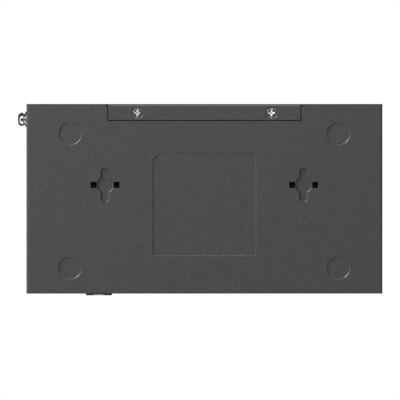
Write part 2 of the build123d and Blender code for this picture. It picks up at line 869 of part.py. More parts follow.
with BuildPart() as sfp_connector:
    connector_back = cage_back - cage_connector_inset
    with BuildSketch(Plane.XY.offset(board_top)):
        with Locations((cage_x, connector_back)):
            Rectangle(cage_connector_width, cage_connector_depth, align=(Align.CENTER, Align.MAX))
    extrude(amount=cage_connector_height)
    fillet(sfp_connector.edges().group_by(Axis.Z)[-1], radius=cage_connector_round)
    with BuildSketch(Plane.XZ.offset(-connector_back + cage_connector_depth)):
        with Locations((cage_x, board_top + card_slot_rise)):
            Rectangle(card_slot_width, card_slot_height)
    extrude(amount=-card_slot_depth, mode=Mode.SUBTRACT)

# Clear light pipes: five bent rods, a bar that joins them and two legs on the board
pipe_foot = board_top + led_height + led_gap
with BuildPart() as light_pipe_strip:
    for x in status_spots:
        with BuildSketch(front_plane):
            with Locations((x, status_z)):
                Circle(pipe_radius)
        with BuildLine(Plane.YZ.offset(x)):
            FilletPolyline(
                (front_face, status_z),
                (pipe_back_y, status_z),
                (pipe_back_y, pipe_foot),
                radius=pipe_bend,
            )
        sweep()
    with Locations((status_x, pipe_bar_y, status_z)):
        Box((lamp_count - 1) * status_pitch + pipe_bar_height, pipe_bar_width, pipe_bar_height)
    with Locations((status_x, pipe_bar_y, board_top)):
        with GridLocations(2 * status_pitch, 0, 2, 1):
            Box(pipe_leg, pipe_bar_width, status_z - board_top, align=low)

with BuildPart() as status_leds:
    with Locations(*[(x, pipe_back_y, board_top) for x in status_spots]):
        Box(led_width, led_length, led_height, align=low)

# Recessed reset switch: its body and its sprung plunger
stem_plane = Plane.XZ.offset(-reset_front_y)
chamber_plane = stem_plane.offset(-reset_front_wall)
with BuildPart() as reset_switch:
    with BuildSketch(Plane.XY.offset(board_top)):
        with Locations((reset_x, reset_front_y)):
            Rectangle(reset_body_width, reset_body_depth, align=(Align.CENTER, Align.MIN))
    extrude(amount=reset_body_height)
    chamfer(reset_switch.edges().group_by(Axis.Z)[-1], length=reset_body_edge)
    with BuildSketch(stem_plane):
        with Locations((reset_x, reset_z)):
            Circle(reset_stem_radius + reset_stem_clearance)
    extrude(amount=-reset_front_wall, mode=Mode.SUBTRACT)
    with BuildSketch(chamber_plane):
        with Locations((reset_x, reset_z)):
            Circle(reset_collar_radius + reset_chamber_clearance)
    chamber_length = reset_collar_gap + reset_collar_length + reset_travel + reset_end_gap
    extrude(amount=-chamber_length, mode=Mode.SUBTRACT)

with BuildPart() as reset_plunger:
    with BuildSketch(stem_plane.offset(reset_stem_proud)):
        with Locations((reset_x, reset_z)):
            Circle(reset_stem_radius)
    extrude(amount=-(reset_stem_proud + reset_front_wall + reset_collar_gap))
    with BuildSketch(chamber_plane.offset(-reset_collar_gap)):
        with Locations((reset_x, reset_z)):
            Circle(reset_collar_radius)
    extrude(amount=-reset_collar_length)
    fillet(reset_plunger.edges().group_by(Axis.Y)[0], radius=reset_stem_round)

# Power inlet on the rear wall and its centre pin
power_plane = Plane.XZ.offset(-power_rear)
with BuildPart() as dc_jack:
    with BuildSketch(power_plane):
        with Locations((power_x, board_top)):
            Rectangle(power_width, power_height, align=(Align.CENTER, Align.MIN))
    extrude(amount=power_length)
    fillet(dc_jack.edges().filter_by(Axis.Y).group_by(Axis.Z)[-1], radius=power_corner)
    with BuildSketch(power_plane):
        with Locations((power_x, power_z)):
            Circle(power_bore_radius)
    extrude(amount=power_bore_depth, mode=Mode.SUBTRACT)
    chamfer(dc_jack.edges().filter_by(GeomType.CIRCLE).sort_by(Axis.Y)[-1:], length=power_bore_lead)
    with BuildSketch(power_plane.offset(power_bore_depth)):
        with Locations((power_x, power_z)):
            Circle(power_pin_stub_radius + thread_clearance)
    extrude(amount=power_pin_stub + power_pin_gap, mode=Mode.SUBTRACT)

with BuildPart() as dc_jack_pin:
    with BuildSketch(power_plane.offset(power_bore_depth)):
        with Locations((power_x, power_z)):
            Circle(power_pin_radius)
    extrude(amount=-(power_bore_depth - power_pin_gap))
    fillet(dc_jack_pin.edges().group_by(Axis.Y)[-1], radius=power_pin_round)
    with BuildSketch(power_plane.offset(power_bore_depth)):
        with Locations((power_x, power_z)):
            Circle(power_pin_stub_radius)
    extrude(amount=power_pin_stub)


def make_chips(spots, size):
    """Flat packages of one size on the board, one solid each, with their top edges eased."""
    length, width, height = size
    with BuildPart() as chips:
        with Locations(*[(x, y, board_top) for x, y in spots]):
            Box(length, width, height, align=low)
        chamfer(chips.faces().group_by(Axis.Z)[-1].edges(), length=chip_edge)
    return chips.part


processor = make_chips([processor_spot], (processor_side, processor_side, processor_height))
switch_chip = make_chips([switch_spot], (switch_side, switch_side, switch_height))
memory_chips = make_chips(memory_spots, memory_size)
flash_chip = make_chips([flash_spot], flash_size)
magnetics_xs = port_centres(lan_x, lan_ports) + port_centres(wan_x, 1)
magnetics_modules = make_chips([(x, magnetics_y) for x in magnetics_xs], magnetics_size)

# Thermal pad and finned heat sink on the processor
pad_bottom = board_top + processor_height
with BuildPart() as thermal_pad:
    with Locations((*processor_spot, pad_bottom)):
        Box(pad_side, pad_side, pad_height, align=low)

sink_pitch = (sink_side - sink_fin) / (sink_fins - 1)
with BuildPart() as processor_heat_sink:
    with BuildSketch(Plane.XZ.offset(-processor_spot[1])):
        with Locations((processor_spot[0], pad_bottom + pad_height)):
            Rectangle(sink_side, sink_base, align=(Align.CENTER, Align.MIN))
            with GridLocations(sink_pitch, 0, sink_fins, 1):
                Rectangle(sink_fin, sink_height, align=(Align.CENTER, Align.MIN))
    extrude(amount=sink_side / 2, both=True)

with BuildPart() as power_inductors:
    with BuildSketch(Plane.XY.offset(board_top)):
        with Locations(*inductor_spots):
            RectangleRounded(inductor_side, inductor_side, inductor_corner)
    extrude(amount=inductor_height)

with BuildPart() as filter_capacitors:
    with Locations(*[(x, y, board_top) for x, y in capacitor_spots]):
        Cylinder(capacitor_radius, capacitor_height, align=low)
    fillet(filter_capacitors.faces().group_by(Axis.Z)[-1].edges(), radius=capacitor_round)

with BuildPart() as crystal:
    with BuildSketch(Plane.XY.offset(board_top)):
        with Locations(crystal_spot):
            SlotOverall(crystal_size[0], crystal_size[1])
    extrude(amount=crystal_size[2])
    fillet(crystal.edges().group_by(Axis.Z)[-1], radius=crystal_round)

# Pin header for service
with BuildPart() as debug_header:
    with Locations((*header_spot, board_top)):
        Box(header_pins * header_pitch, header_base, header_base, align=low)
    with Locations((*header_spot, board_top)):
        with GridLocations(header_pitch, 0, header_pins, 1):
            Box(header_pin, header_pin, header_pin_height, align=low)

pieces = {
    "bottom_tray": bottom_tray.part,
    "top_cover": top_cover.part,
    "cover_screws": cover_screws.part,
    "ground_screw": ground_screw.part.moved(Location((0, ground_y, wall_middle))),
    "ground_washer": ground_washer.part,
    "ground_lock_washer": ground_lock_washer.part.moved(Location((0, ground_y, wall_middle))),
    "ground_nut": ground_nut.part,
    "main_board": main_board.part,
    "board_standoffs": board_standoffs.part,
    "board_screws": board_screws.part,
    "lan_jack_shield": lan_jack_shield,
    "lan_jack_insert": lan_jack_insert,
    "lan_jack_contacts": lan_jack_contacts,
    "wan_jack_shield": wan_jack_shield,
    "wan_jack_insert": wan_jack_insert,
    "wan_jack_contacts": wan_jack_contacts,
    "port_lights": port_lights.part,
    "sfp_cage": sfp_cage.part,
    "sfp_connector": sfp_connector.part,
    "light_pipe_strip": light_pipe_strip.part,
    "status_leds": status_leds.part,
    "reset_switch": reset_switch.part,
    "reset_plunger": reset_plunger.part,
    "dc_jack": dc_jack.part,
    "dc_jack_pin": dc_jack_pin.part,
    "processor": processor,
    "thermal_pad": thermal_pad.part,
    "processor_heat_sink": processor_heat_sink.part,
    "switch_chip": switch_chip,
    "memory_chips": memory_chips,
    "flash_chip": flash_chip,
    "magnetics_modules": magnetics_modules,
    "power_inductors": power_inductors.part,
    "filter_capacitors": filter_capacitors.part,
    "crystal": crystal.part,
    "debug_header": debug_header.part,
}

os.makedirs("parts", exist_ok=True)
for name, piece in pieces.items():
    piece.label = name
    export_step(piece, f"parts/{name}.step")
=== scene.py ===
import json
import math
import bpy
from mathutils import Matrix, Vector


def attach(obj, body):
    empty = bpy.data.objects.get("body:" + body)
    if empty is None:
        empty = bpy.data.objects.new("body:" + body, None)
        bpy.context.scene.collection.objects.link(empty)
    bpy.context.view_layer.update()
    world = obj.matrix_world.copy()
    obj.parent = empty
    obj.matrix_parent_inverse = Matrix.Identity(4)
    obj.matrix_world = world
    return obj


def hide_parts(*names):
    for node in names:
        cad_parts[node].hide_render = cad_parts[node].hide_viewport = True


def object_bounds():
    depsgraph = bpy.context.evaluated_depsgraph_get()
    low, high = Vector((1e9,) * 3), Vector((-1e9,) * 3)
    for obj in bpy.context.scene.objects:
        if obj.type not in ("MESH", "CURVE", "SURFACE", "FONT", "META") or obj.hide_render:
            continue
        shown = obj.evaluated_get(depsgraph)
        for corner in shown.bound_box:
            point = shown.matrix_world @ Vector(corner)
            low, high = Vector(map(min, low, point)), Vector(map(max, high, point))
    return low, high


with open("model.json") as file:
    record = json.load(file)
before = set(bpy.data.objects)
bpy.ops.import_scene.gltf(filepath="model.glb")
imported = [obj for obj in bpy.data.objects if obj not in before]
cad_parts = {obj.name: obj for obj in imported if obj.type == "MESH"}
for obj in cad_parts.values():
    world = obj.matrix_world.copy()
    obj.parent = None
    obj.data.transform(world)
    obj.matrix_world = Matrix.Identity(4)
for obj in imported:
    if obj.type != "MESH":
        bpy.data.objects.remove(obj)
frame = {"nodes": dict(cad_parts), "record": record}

# Small ethernet router in a folded, powder-coated steel case, seen from below. Lengths are metres.
mm = 0.001
cad_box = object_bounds()
nodes = frame["nodes"]
scene = bpy.context.scene
case_half_width = -cad_box[0][0]
case_half_depth = cad_box[1][1]


# Shader node helpers

def feed(tree, value, socket):
    """Links a socket to another one, or sets it to a constant."""
    if isinstance(value, bpy.types.NodeSocket):
        tree.links.new(value, socket)
    else:
        socket.default_value = value


def set_inputs(tree, node, **values):
    """Feeds a node's inputs by name, with _ for a space."""
    for label, value in values.items():
        feed(tree, value, node.inputs[label.replace("_", " ")])


def add_math(tree, operation, *values, clamp=False):
    """A Math node; returns its output."""
    node = tree.nodes.new("ShaderNodeMath")
    node.operation = operation
    node.use_clamp = clamp
    for value, socket in zip(values, node.inputs):
        feed(tree, value, socket)
    return node.outputs[0]


def add_vector_math(tree, operation, *values):
    """A Vector Math node; returns the node."""
    node = tree.nodes.new("ShaderNodeVectorMath")
    node.operation = operation
    for value, socket in zip(values, node.inputs):
        feed(tree, value, socket)
    return node


def blend(tree, factor, first, second):
    """A Mix node for numbers: the first at factor 0, the second at factor 1."""
    node = tree.nodes.new("ShaderNodeMix")
    for value, socket in zip((factor, first, second), (node.inputs[0], node.inputs[2], node.inputs[3])):
        feed(tree, value, socket)
    return node.outputs[0]


def add_noise(tree, place, scale, detail, roughness):
    """A Noise Texture node; returns its factor."""
    node = tree.nodes.new("ShaderNodeTexNoise")
    set_inputs(tree, node, Vector=place, Scale=scale, Detail=detail, Roughness=roughness)
    return node.outputs["Fac"]


def object_place(tree):
    """Object coordinates."""
    return tree.nodes.new("ShaderNodeTexCoord").outputs["Object"]


def colour_ramp(tree, mask, first, last, start=0.0, end=1.0):
    """Colour over a mask: the first one up to start, the last one from end on."""
    ramp = tree.nodes.new("ShaderNodeValToRGB")
    for stop, place, colour in zip(ramp.color_ramp.elements, (start, end), (first, last)):
        stop.position = place
        stop.color = (*colour, 1.0)
    tree.links.new(mask, ramp.inputs["Fac"])
    return ramp.outputs["Color"]


def value_range(tree, mask, low, high):
    """Maps a mask from 0..1 to low..high."""
    node = tree.nodes.new("ShaderNodeMapRange")
    set_inputs(tree, node, Value=mask, To_Min=low, To_Max=high)
    return node.outputs["Result"]


def smooth_range(tree, value, start, end, before, after):
    """Passes smoothly from the number before to the number after while the value goes from start to end."""
    node = tree.nodes.new("ShaderNodeMapRange")
    node.interpolation_type = "SMOOTHSTEP"
    set_inputs(tree, node, Value=value, From_Min=start, From_Max=end, To_Min=before, To_Max=after)
    return node.outputs["Result"]


def add_bump(tree, height, strength, distance, normal=None):
    """A Bump node, on another normal if one is given; returns its normal."""
    node = tree.nodes.new("ShaderNodeBump")
    set_inputs(tree, node, Height=height, Strength=strength, Distance=distance)
    if normal is not None:
        set_inputs(tree, node, Normal=normal)
    return node.outputs["Normal"]


# Shared effects, each a node group used by several finishes

# Drawn lines: how often a line changes along itself and across, each metre
lines_along = 300.0
lines_across = 9000.0
along_x = (lines_along, lines_across, lines_across)
along_y = (lines_across, lines_along, lines_across)


def new_group(name, inputs, outputs):
    """An empty shader node group; returns the group, its input node and its output node."""
    group = bpy.data.node_groups.new(name, "ShaderNodeTree")
    for label, kind, value in inputs:
        socket = group.interface.new_socket(label, in_out="INPUT", socket_type=kind)
        socket.default_value = value
    for label, kind in outputs:
        group.interface.new_socket(label, in_out="OUTPUT", socket_type=kind)
    return group, group.nodes.new("NodeGroupInput"), group.nodes.new("NodeGroupOutput")


def make_paint_grain():
    """Orange-peel of baked powder: a height for bump, a speckle for colour and gloss, and soft clouds."""
    # The underside would else lie in a plane of the noise's own lattice
    off_lattice = (0.31 * mm, 0.53 * mm, 0.4 * mm)
    fine_ratio = 2.7
    coarse_share = 0.65
    clouds_per_metre = 38.0
    middle = 0.5
    contrast = 3.2
    group, entry, leave = new_group(
        "paint_grain",
        [("Grains Per Metre", "NodeSocketFloat", 1400.0)],
        [("Height", "NodeSocketFloat"), ("Speckle", "NodeSocketFloat"), ("Cloud", "NodeSocketFloat")],
    )
    place = add_vector_math(group, "ADD", object_place(group), off_lattice).outputs["Vector"]
    grains = entry.outputs["Grains Per Metre"]
    fine_grains = add_math(group, "MULTIPLY", grains, fine_ratio)
    coarse = add_noise(group, place, grains, detail=3.0, roughness=0.55)
    fine = add_noise(group, place, fine_grains, detail=2.0, roughness=0.6)
    cloud = add_noise(group, place, clouds_per_metre, detail=4.0, roughness=0.6)
    fine_part = add_math(group, "MULTIPLY", fine, 1.0 - coarse_share)
    height = add_math(group, "MULTIPLY_ADD", coarse, coarse_share, fine_part)
    off_middle = add_math(group, "SUBTRACT", height, middle)
    speckle = add_math(group, "MULTIPLY_ADD", off_middle, contrast, middle, clamp=True)
    set_inputs(group, leave, Height=height, Speckle=speckle, Cloud=cloud)
    return group


def make_soft_edge():
    """Rounds sharp edges in the shading."""
    group, entry, leave = new_group(
        "soft_edge", [("Radius", "NodeSocketFloat", 0.2 * mm)], [("Normal", "NodeSocketVector")]
    )
    bevel = group.nodes.new("ShaderNodeBevel")
    bevel.samples = 6
    set_inputs(group, bevel, Radius=entry.outputs["Radius"])
    set_inputs(group, leave, Normal=bevel.outputs["Normal"])
    return group


def make_drawn_lines():
    """Fine lines left by rolling or drawing, along the axis of the smallest density."""
    group, entry, leave = new_group(
        "drawn_lines", [("Density", "NodeSocketVector", along_x)], [("Lines", "NodeSocketFloat")]
    )
    stretched = add_vector_math(group, "MULTIPLY", object_place(group), entry.outputs["Density"])
    lines = add_noise(group, stretched.outputs["Vector"], 1.0, detail=3.0, roughness=0.6)
    set_inputs(group, leave, Lines=lines)
    return group


paint_grain = make_paint_grain()
soft_edge = make_soft_edge()
drawn_lines = make_drawn_lines()


# Finishes

def new_finish(name):
    """A material with only a Principled shader; returns the material, its tree and the shader."""
    material = bpy.data.materials.new(name)
    material.use_nodes = True
    tree = material.node_tree
    tree.nodes.clear()
    shader = tree.nodes.new("ShaderNodeBsdfPrincipled")
    output = tree.nodes.new("ShaderNodeOutputMaterial")
    tree.links.new(shader.outputs["BSDF"], output.inputs["Surface"])
    return material, tree, shader


def place_group(tree, group, **values):
    """Puts a shared effect in a material with its own values; returns its outputs."""
    node = tree.nodes.new("ShaderNodeGroup")
    node.node_tree = group
    set_inputs(tree, node, **values)
    return node.outputs


def powder_coat():
    """Near-black baked powder coat with a fine grain."""
    material, tree, shader = new_finish("powder_coat_black")
    grain = place_group(tree, paint_grain, Grains_Per_Metre=700.0)
    edge = place_group(tree, soft_edge, Radius=0.22 * mm)
    dark = (0.039, 0.039, 0.0395)
    pale = (0.0525, 0.0525, 0.053)
    set_inputs(
        tree,
        shader,
        Base_Color=colour_ramp(tree, grain["Speckle"], dark, pale),
        Roughness=value_range(tree, grain["Speckle"], low=0.4, high=0.46),
        Normal=add_bump(tree, grain["Height"], strength=0.45, distance=0.1 * mm, normal=edge["Normal"]),
        IOR=1.5,
    )
    return material


def plated_metal(name, colour, roughness, spread, density, edge_radius=0.1 * mm):
    """Plated or drawn metal with fine lines and a little unevenness in its gloss."""
    material, tree, shader = new_finish(name)
    lines = place_group(tree, drawn_lines, Density=density)["Lines"]
    edge = place_group(tree, soft_edge, Radius=edge_radius)
    line_shade = 0.86
    darker = tuple(line_shade * channel for channel in colour)
    set_inputs(
        tree,
        shader,
        Base_Color=colour_ramp(tree, lines, darker, colour, start=0.35, end=0.65),
        Roughness=value_range(tree, lines, low=roughness - spread, high=roughness + spread),
        Normal=add_bump(tree, lines, strength=0.12, distance=0.01 * mm, normal=edge["Normal"]),
        Metallic=1.0,
    )
    return material


def moulding(name, colour, roughness, grains=2600.0, edge_radius=0.12 * mm):
    """Opaque moulded plastic or a moulded package with a fine spark-eroded texture."""
    material, tree, shader = new_finish(name)
    grain = place_group(tree, paint_grain, Grains_Per_Metre=grains)
    edge = place_group(tree, soft_edge, Radius=edge_radius)
    spread = 0.06
    lift, least_lift = 1.25, 0.004
    paler = tuple(min(1.0, lift * channel + least_lift) for channel in colour)
    set_inputs(
        tree,
        shader,
        Base_Color=colour_ramp(tree, grain["Cloud"], colour, paler, start=0.3, end=0.75),
        Roughness=value_range(tree, grain["Speckle"], low=roughness - spread, high=roughness + spread),
        Normal=add_bump(tree, grain["Height"], strength=0.25, distance=0.02 * mm, normal=edge["Normal"]),
    )
    return material


def clear_moulding():
    """Clear plastic of the light pipes and the ports' windows, a little frosted."""
    material, tree, shader = new_finish("clear_plastic")
    grain = place_group(tree, paint_grain, Grains_Per_Metre=900.0)
    duller = (0.86, 0.88, 0.86)
    clearer = (0.93, 0.94, 0.92)
    set_inputs(
        tree,
        shader,
        Base_Color=colour_ramp(tree, grain["Cloud"], duller, clearer, start=0.3, end=0.8),
        Roughness=value_range(tree, grain["Speckle"], low=0.12, high=0.22),
        IOR=1.49,
        Transmission_Weight=0.75,
    )
    return material


def board_mask():
    """Black solder mask over copper tracks, a little raised and paler where copper lies below."""
    material, tree, shader = new_finish("board_black")
    cells_per_metre = 420.0
    track_reach = 0.36
    bare = (0.008, 0.009, 0.009)
    over_copper = (0.022, 0.024, 0.023)
    cells = tree.nodes.new("ShaderNodeTexVoronoi")
    cells.distance = "CHEBYCHEV"
    set_inputs(tree, cells, Vector=object_place(tree), Scale=cells_per_metre, Randomness=0.35)
    tracks = add_math(tree, "GREATER_THAN", cells.outputs["Distance"], track_reach)
    cloud = place_group(tree, paint_grain)["Cloud"]
    set_inputs(
        tree,
        shader,
        Base_Color=colour_ramp(tree, tracks, bare, over_copper),
        Roughness=value_range(tree, cloud, low=0.28, high=0.42),
        Normal=add_bump(tree, tracks, strength=0.4, distance=0.03 * mm),
    )
    return material


finishes = {
    "black_powder_coat": powder_coat(),
    "plated_screw": plated_metal(
        "screw_plating", (0.64, 0.64, 0.65), roughness=0.18, spread=0.04, density=along_x
    ),
    "bright_plate": plated_metal(
        "bright_nickel", (0.94, 0.94, 0.92), roughness=0.08, spread=0.02, density=along_x
    ),
    "shield_metal": plated_metal(
        "shield_tin", (0.62, 0.62, 0.6), roughness=0.3, spread=0.07, density=along_x
    ),
    "cage_metal": plated_metal(
        "cage_nickel", (0.38, 0.375, 0.36), roughness=0.28, spread=0.06, density=along_y
    ),
    "black_moulding": moulding("moulded_black", (0.018, 0.018, 0.019), roughness=0.42),
    "gold_contact": plated_metal(
        "contact_gold",
        (0.83, 0.6, 0.25),
        roughness=0.18,
        spread=0.04,
        density=along_y,
        edge_radius=0.05 * mm,
    ),
    "clear_plastic": clear_moulding(),
    "board_laminate": board_mask(),
    "chip_black": moulding(
        "package_black", (0.022, 0.022, 0.023), roughness=0.55, grains=3500.0, edge_radius=0.08 * mm
    ),
    "heat_sink_metal": plated_metal(
        "extruded_aluminium", (0.72, 0.72, 0.72), roughness=0.34, spread=0.06, density=along_y
    ),
    "thermal_grey": moulding("thermal_pad_grey", (0.3, 0.32, 0.35), roughness=0.75),
    "ferrite_grey": moulding(
        "pressed_ferrite", (0.07, 0.07, 0.072), roughness=0.7, grains=1800.0, edge_radius=0.2 * mm
    ),
    "can_metal": plated_metal(
        "can_aluminium", (0.76, 0.76, 0.76), roughness=0.24, spread=0.05, density=along_x
    ),
    "lamp_white": moulding("lamp_package", (0.75, 0.74, 0.62), roughness=0.3),
    "plunger_plastic": moulding("plunger_white", (0.7, 0.69, 0.65), roughness=0.35, grains=2000.0),
}
for subpart in frame["record"]["subparts"]:
    for slot in nodes[subpart["node"]].material_slots:
        slot.material = finishes[subpart["material_slot"]]


# Screws, with the cross recess that the solids only hint at

cover_screw_spacing = 76.1 * mm
cover_screw_y = 48.7 * mm
cover_screw_face = 0.15 * mm
ground_screw_place = (106.65 * mm, 45.6 * mm, 14.0 * mm)
towards_inside = (0.0, -math.pi / 2, 0.0)
unturned = (0.0, 0.0, 0.0)

screw_sides = 64
screw_point = 0.5 * mm
round_steps = 7
pit_sides = 16
smooth_below = math.radians(18)
merge_reach = 0.002 * mm
pick_reach = 0.01 * mm

# How far a recess's cutters stand out of the head's face
overrun = 0.01 * mm

# What is left of a recess wing at its bottom, of its length and of its width
wing_length_share = 0.28
wing_width_share = 0.66

# The pit's radii as shares of the recess's width, and its ends as shares of the depth
pit_low_radius = 0.59
pit_high_radius = 0.29
pit_low = 0.4
pit_high = 2.0


def pick_faces(piece, test):
    """Enters edit mode with only the faces selected that pass the test."""
    bpy.ops.object.mode_set(mode="EDIT")
    bpy.ops.mesh.select_mode(type="FACE")
    bpy.ops.mesh.select_all(action="DESELECT")
    bpy.ops.object.mode_set(mode="OBJECT")
    for face in piece.data.polygons:
        face.select = test(face)
    bpy.ops.object.mode_set(mode="EDIT")


def pick_edges(piece, test):
    """Enters edit mode with only the edges selected whose two ends both pass the test."""
    bpy.ops.object.mode_set(mode="EDIT")
    bpy.ops.mesh.select_mode(type="EDGE")
    bpy.ops.mesh.select_all(action="DESELECT")
    bpy.ops.object.mode_set(mode="OBJECT")
    corners = piece.data.vertices
    for edge in piece.data.edges:
        edge.select = all(test(corners[n].co) for n in edge.vertices)
    bpy.ops.object.mode_set(mode="EDIT")


def looks_up(face):
    """Whether a face looks up, give or take 60 degrees."""
    return face.normal.z > 0.5


def select_only(piece):
    """Selects one object and makes it active."""
    bpy.ops.object.select_all(action="DESELECT")
    piece.select_set(True)
    bpy.context.view_layer.objects.active = piece


def settle(name):
    """Names the active object and puts its place and size into its mesh."""
    piece = bpy.context.object
    piece.name = name
    piece.data.name = name
    bpy.ops.object.transform_apply(location=True, rotation=True, scale=True)
    return piece


def recess_wing(turn, length, width, depth):
    """A wedge as long as the recess at the head's face, with ends that slope in to the middle."""
    low = -overrun
    bpy.ops.object.select_all(action="DESELECT")
    bpy.ops.mesh.primitive_cube_add(size=1.0, location=(0.0, 0.0, (low + depth) / 2))
    wing = bpy.context.object
    wing.scale = (length, width, depth - low)
    wing.rotation_euler = (0.0, 0.0, turn)
    wing = settle("recess_wing")
    pick_faces(wing, looks_up)
    shares = (wing_length_share, wing_width_share)
    if turn:
        shares = shares[::-1]
    bpy.ops.transform.resize(value=(*shares, 1.0), center_override=(0.0, 0.0, depth))
    bpy.ops.object.mode_set(mode="OBJECT")
    return wing


def recess_pit(width, depth):
    """The deep middle of the recess."""
    low, high = pit_low * depth, pit_high * depth
    bpy.ops.object.select_all(action="DESELECT")
    bpy.ops.mesh.primitive_cone_add(
        vertices=pit_sides,
        radius1=pit_low_radius * width,
        radius2=pit_high_radius * width,
        depth=high - low,
        location=(0.0, 0.0, (low + high) / 2),
    )
    return settle("recess_pit")


def cut_away(piece, cutter):
    """Cuts one solid out of another and removes the cutter."""
    cut = piece.modifiers.new("cut", "BOOLEAN")
    cut.operation = "DIFFERENCE"
    cut.solver = "EXACT"
    cut.object = cutter
    select_only(piece)
    bpy.ops.object.modifier_apply(modifier=cut.name)
    bpy.data.objects.remove(cutter)


def make_screw(name, head_radius, head_height, head_round, shank_radius, shank_length, recess):
    """Pan-head screw on the Z axis, its face at 0 and its shank up; recess is (length, width, depth)."""
    bpy.ops.object.select_all(action="DESELECT")
    bpy.ops.mesh.primitive_cylinder_add(
        vertices=screw_sides, radius=head_radius, depth=head_height, location=(0.0, 0.0, head_height / 2)
    )
    screw = settle(name)
    pick_faces(screw, looks_up)
    bpy.ops.mesh.inset(thickness=head_radius - shank_radius, depth=0.0)
    for step in (shank_length - screw_point, screw_point):
        bpy.ops.mesh.extrude_region_move(TRANSFORM_OT_translate={"value": (0.0, 0.0, step)})
    narrower = 1.0 - screw_point / shank_radius
    tip = (0.0, 0.0, head_height + shank_length)
    bpy.ops.transform.resize(value=(narrower, narrower, 1.0), center_override=tip)
    pick_edges(screw, lambda corner: corner.z < pick_reach)
    bpy.ops.mesh.bevel(offset=head_round, segments=round_steps, profile=0.5, affect="EDGES")
    bpy.ops.object.mode_set(mode="OBJECT")
    length, width, depth = recess
    for turn in (0.0, math.pi / 2):
        cut_away(screw, recess_wing(turn, length, width, depth))
    cut_away(screw, recess_pit(width, depth))
    bpy.ops.object.mode_set(mode="EDIT")
    bpy.ops.mesh.select_all(action="SELECT")
    bpy.ops.mesh.remove_doubles(threshold=merge_reach)
    bpy.ops.mesh.normals_make_consistent(inside=False)
    bpy.ops.object.mode_set(mode="OBJECT")
    bpy.ops.object.shade_smooth_by_angle(angle=smooth_below)
    return screw


def fit_screw(pattern, name, place, turn, node, finish):
    """A copy of a screw with its own mesh, put in place in its mesh, instead of the plain solid."""
    screw = pattern.copy()
    screw.data = pattern.data.copy()
    screw.name = screw.data.name = name
    scene.collection.objects.link(screw)
    select_only(screw)
    screw.location = place
    screw.rotation_euler = turn
    bpy.ops.object.transform_apply(location=True, rotation=True, scale=True)
    screw.data.materials.clear()
    screw.data.materials.append(finishes[finish])
    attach(screw, "case")
    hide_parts(node)


m3_screw = make_screw(
    "m3_screw",
    head_radius=2.75 * mm,
    head_height=1.35 * mm,
    head_round=0.3 * mm,
    shank_radius=1.5 * mm,
    shank_length=4.8 * mm,
    recess=(3.6 * mm, 1.05 * mm, 0.63 * mm),
)
for side, name in ((-1, "cover_screw_far"), (1, "cover_screw_near")):
    place = (side * cover_screw_spacing / 2, cover_screw_y, cover_screw_face)
    fit_screw(m3_screw, name, place, unturned, "cover_screws", "plated_screw")
bpy.data.objects.remove(m3_screw)

m4_screw = make_screw(
    "m4_screw",
    head_radius=3.8 * mm,
    head_height=2.95 * mm,
    head_round=1.8 * mm,
    shank_radius=2.0 * mm,
    shank_length=8.0 * mm,
    recess=(4.4 * mm, 1.25 * mm, 1.1 * mm),
)
fit_screw(m4_screw, "ground_pan_screw", ground_screw_place, towards_inside, "ground_screw", "bright_plate")
bpy.data.objects.remove(m4_screw)


# Floor and shade cards

floor_size = 2.0
floor_drop = 0.05 * mm
floor_fade_start = 0.15
floor_fade_end = 0.7

# The card hides the walls from the lamps below, and the strip closes the gap beside the case
card_drop = 0.1 * mm
card_gap = 2.0 * mm
card_rim = (1.2, 1.2)
strip_rise = 0.15 * mm
strip_gap = 0.15 * mm
strip_reach = 3.0 * mm


def grey(level):
    """A neutral colour."""
    return (level, level, level)


def front_side(tree):
    """A mask that is 1 on a card's front and 0 on its back."""
    return add_math(tree, "SUBTRACT", 1.0, tree.nodes.new("ShaderNodeNewGeometry").outputs["Backfacing"])


def show_where(tree, shader, mask):
    """Makes a finish clear where the mask is 0."""
    surface = shader.outputs["BSDF"].links[0].to_socket
    clear = tree.nodes.new("ShaderNodeBsdfTransparent")
    mix = tree.nodes.new("ShaderNodeMixShader")
    for start, end in zip((mask, clear.outputs["BSDF"], shader.outputs["BSDF"]), mix.inputs):
        tree.links.new(start, end)
    tree.links.new(mix.outputs["Shader"], surface)


def floor_finish():
    """Pale matt floor that fades out with distance, and that the camera sees only from above."""
    material, tree, shader = new_finish("pale_floor")
    cloud = place_group(tree, paint_grain)["Cloud"]
    set_inputs(
        tree,
        shader,
        Base_Color=colour_ramp(tree, cloud, grey(0.78), grey(0.8), start=0.3, end=0.7),
        Roughness=0.9,
        Specular_IOR_Level=0.1,
    )
    camera_ray = tree.nodes.new("ShaderNodeLightPath").outputs["Is Camera Ray"]
    away = add_vector_math(tree, "LENGTH", object_place(tree)).outputs["Value"]
    fade = smooth_range(tree, away, floor_fade_start, floor_fade_end, before=1.0, after=0.0)
    seen = add_math(tree, "MULTIPLY", camera_ray, front_side(tree))
    show_where(tree, shader, add_math(tree, "MULTIPLY", seen, fade))
    return material


def cloth_finish():
    """Black cloth of the shade cards, that light from above passes."""
    material, tree, shader = new_finish("black_cloth")
    cloud = place_group(tree, paint_grain)["Cloud"]
    set_inputs(
        tree,
        shader,
        Base_Color=colour_ramp(tree, cloud, grey(0.01), grey(0.02), start=0.3, end=0.7),
        Roughness=1.0,
        Specular_IOR_Level=0.0,
    )
    show_where(tree, shader, front_side(tree))
    return material


def stage_plane(name, size, height):
    """A square card of the stage, with its height in its mesh."""
    bpy.ops.object.select_all(action="DESELECT")
    bpy.ops.mesh.primitive_plane_add(size=size, location=(0.0, 0.0, height))
    card = bpy.context.object
    card.name = name
    bpy.ops.object.transform_apply(location=True, rotation=True, scale=True)
    return card


def round_case(gap):
    """Half length and half width of a rectangle that leaves the same gap all round the case."""
    return case_half_width + gap, case_half_depth + gap


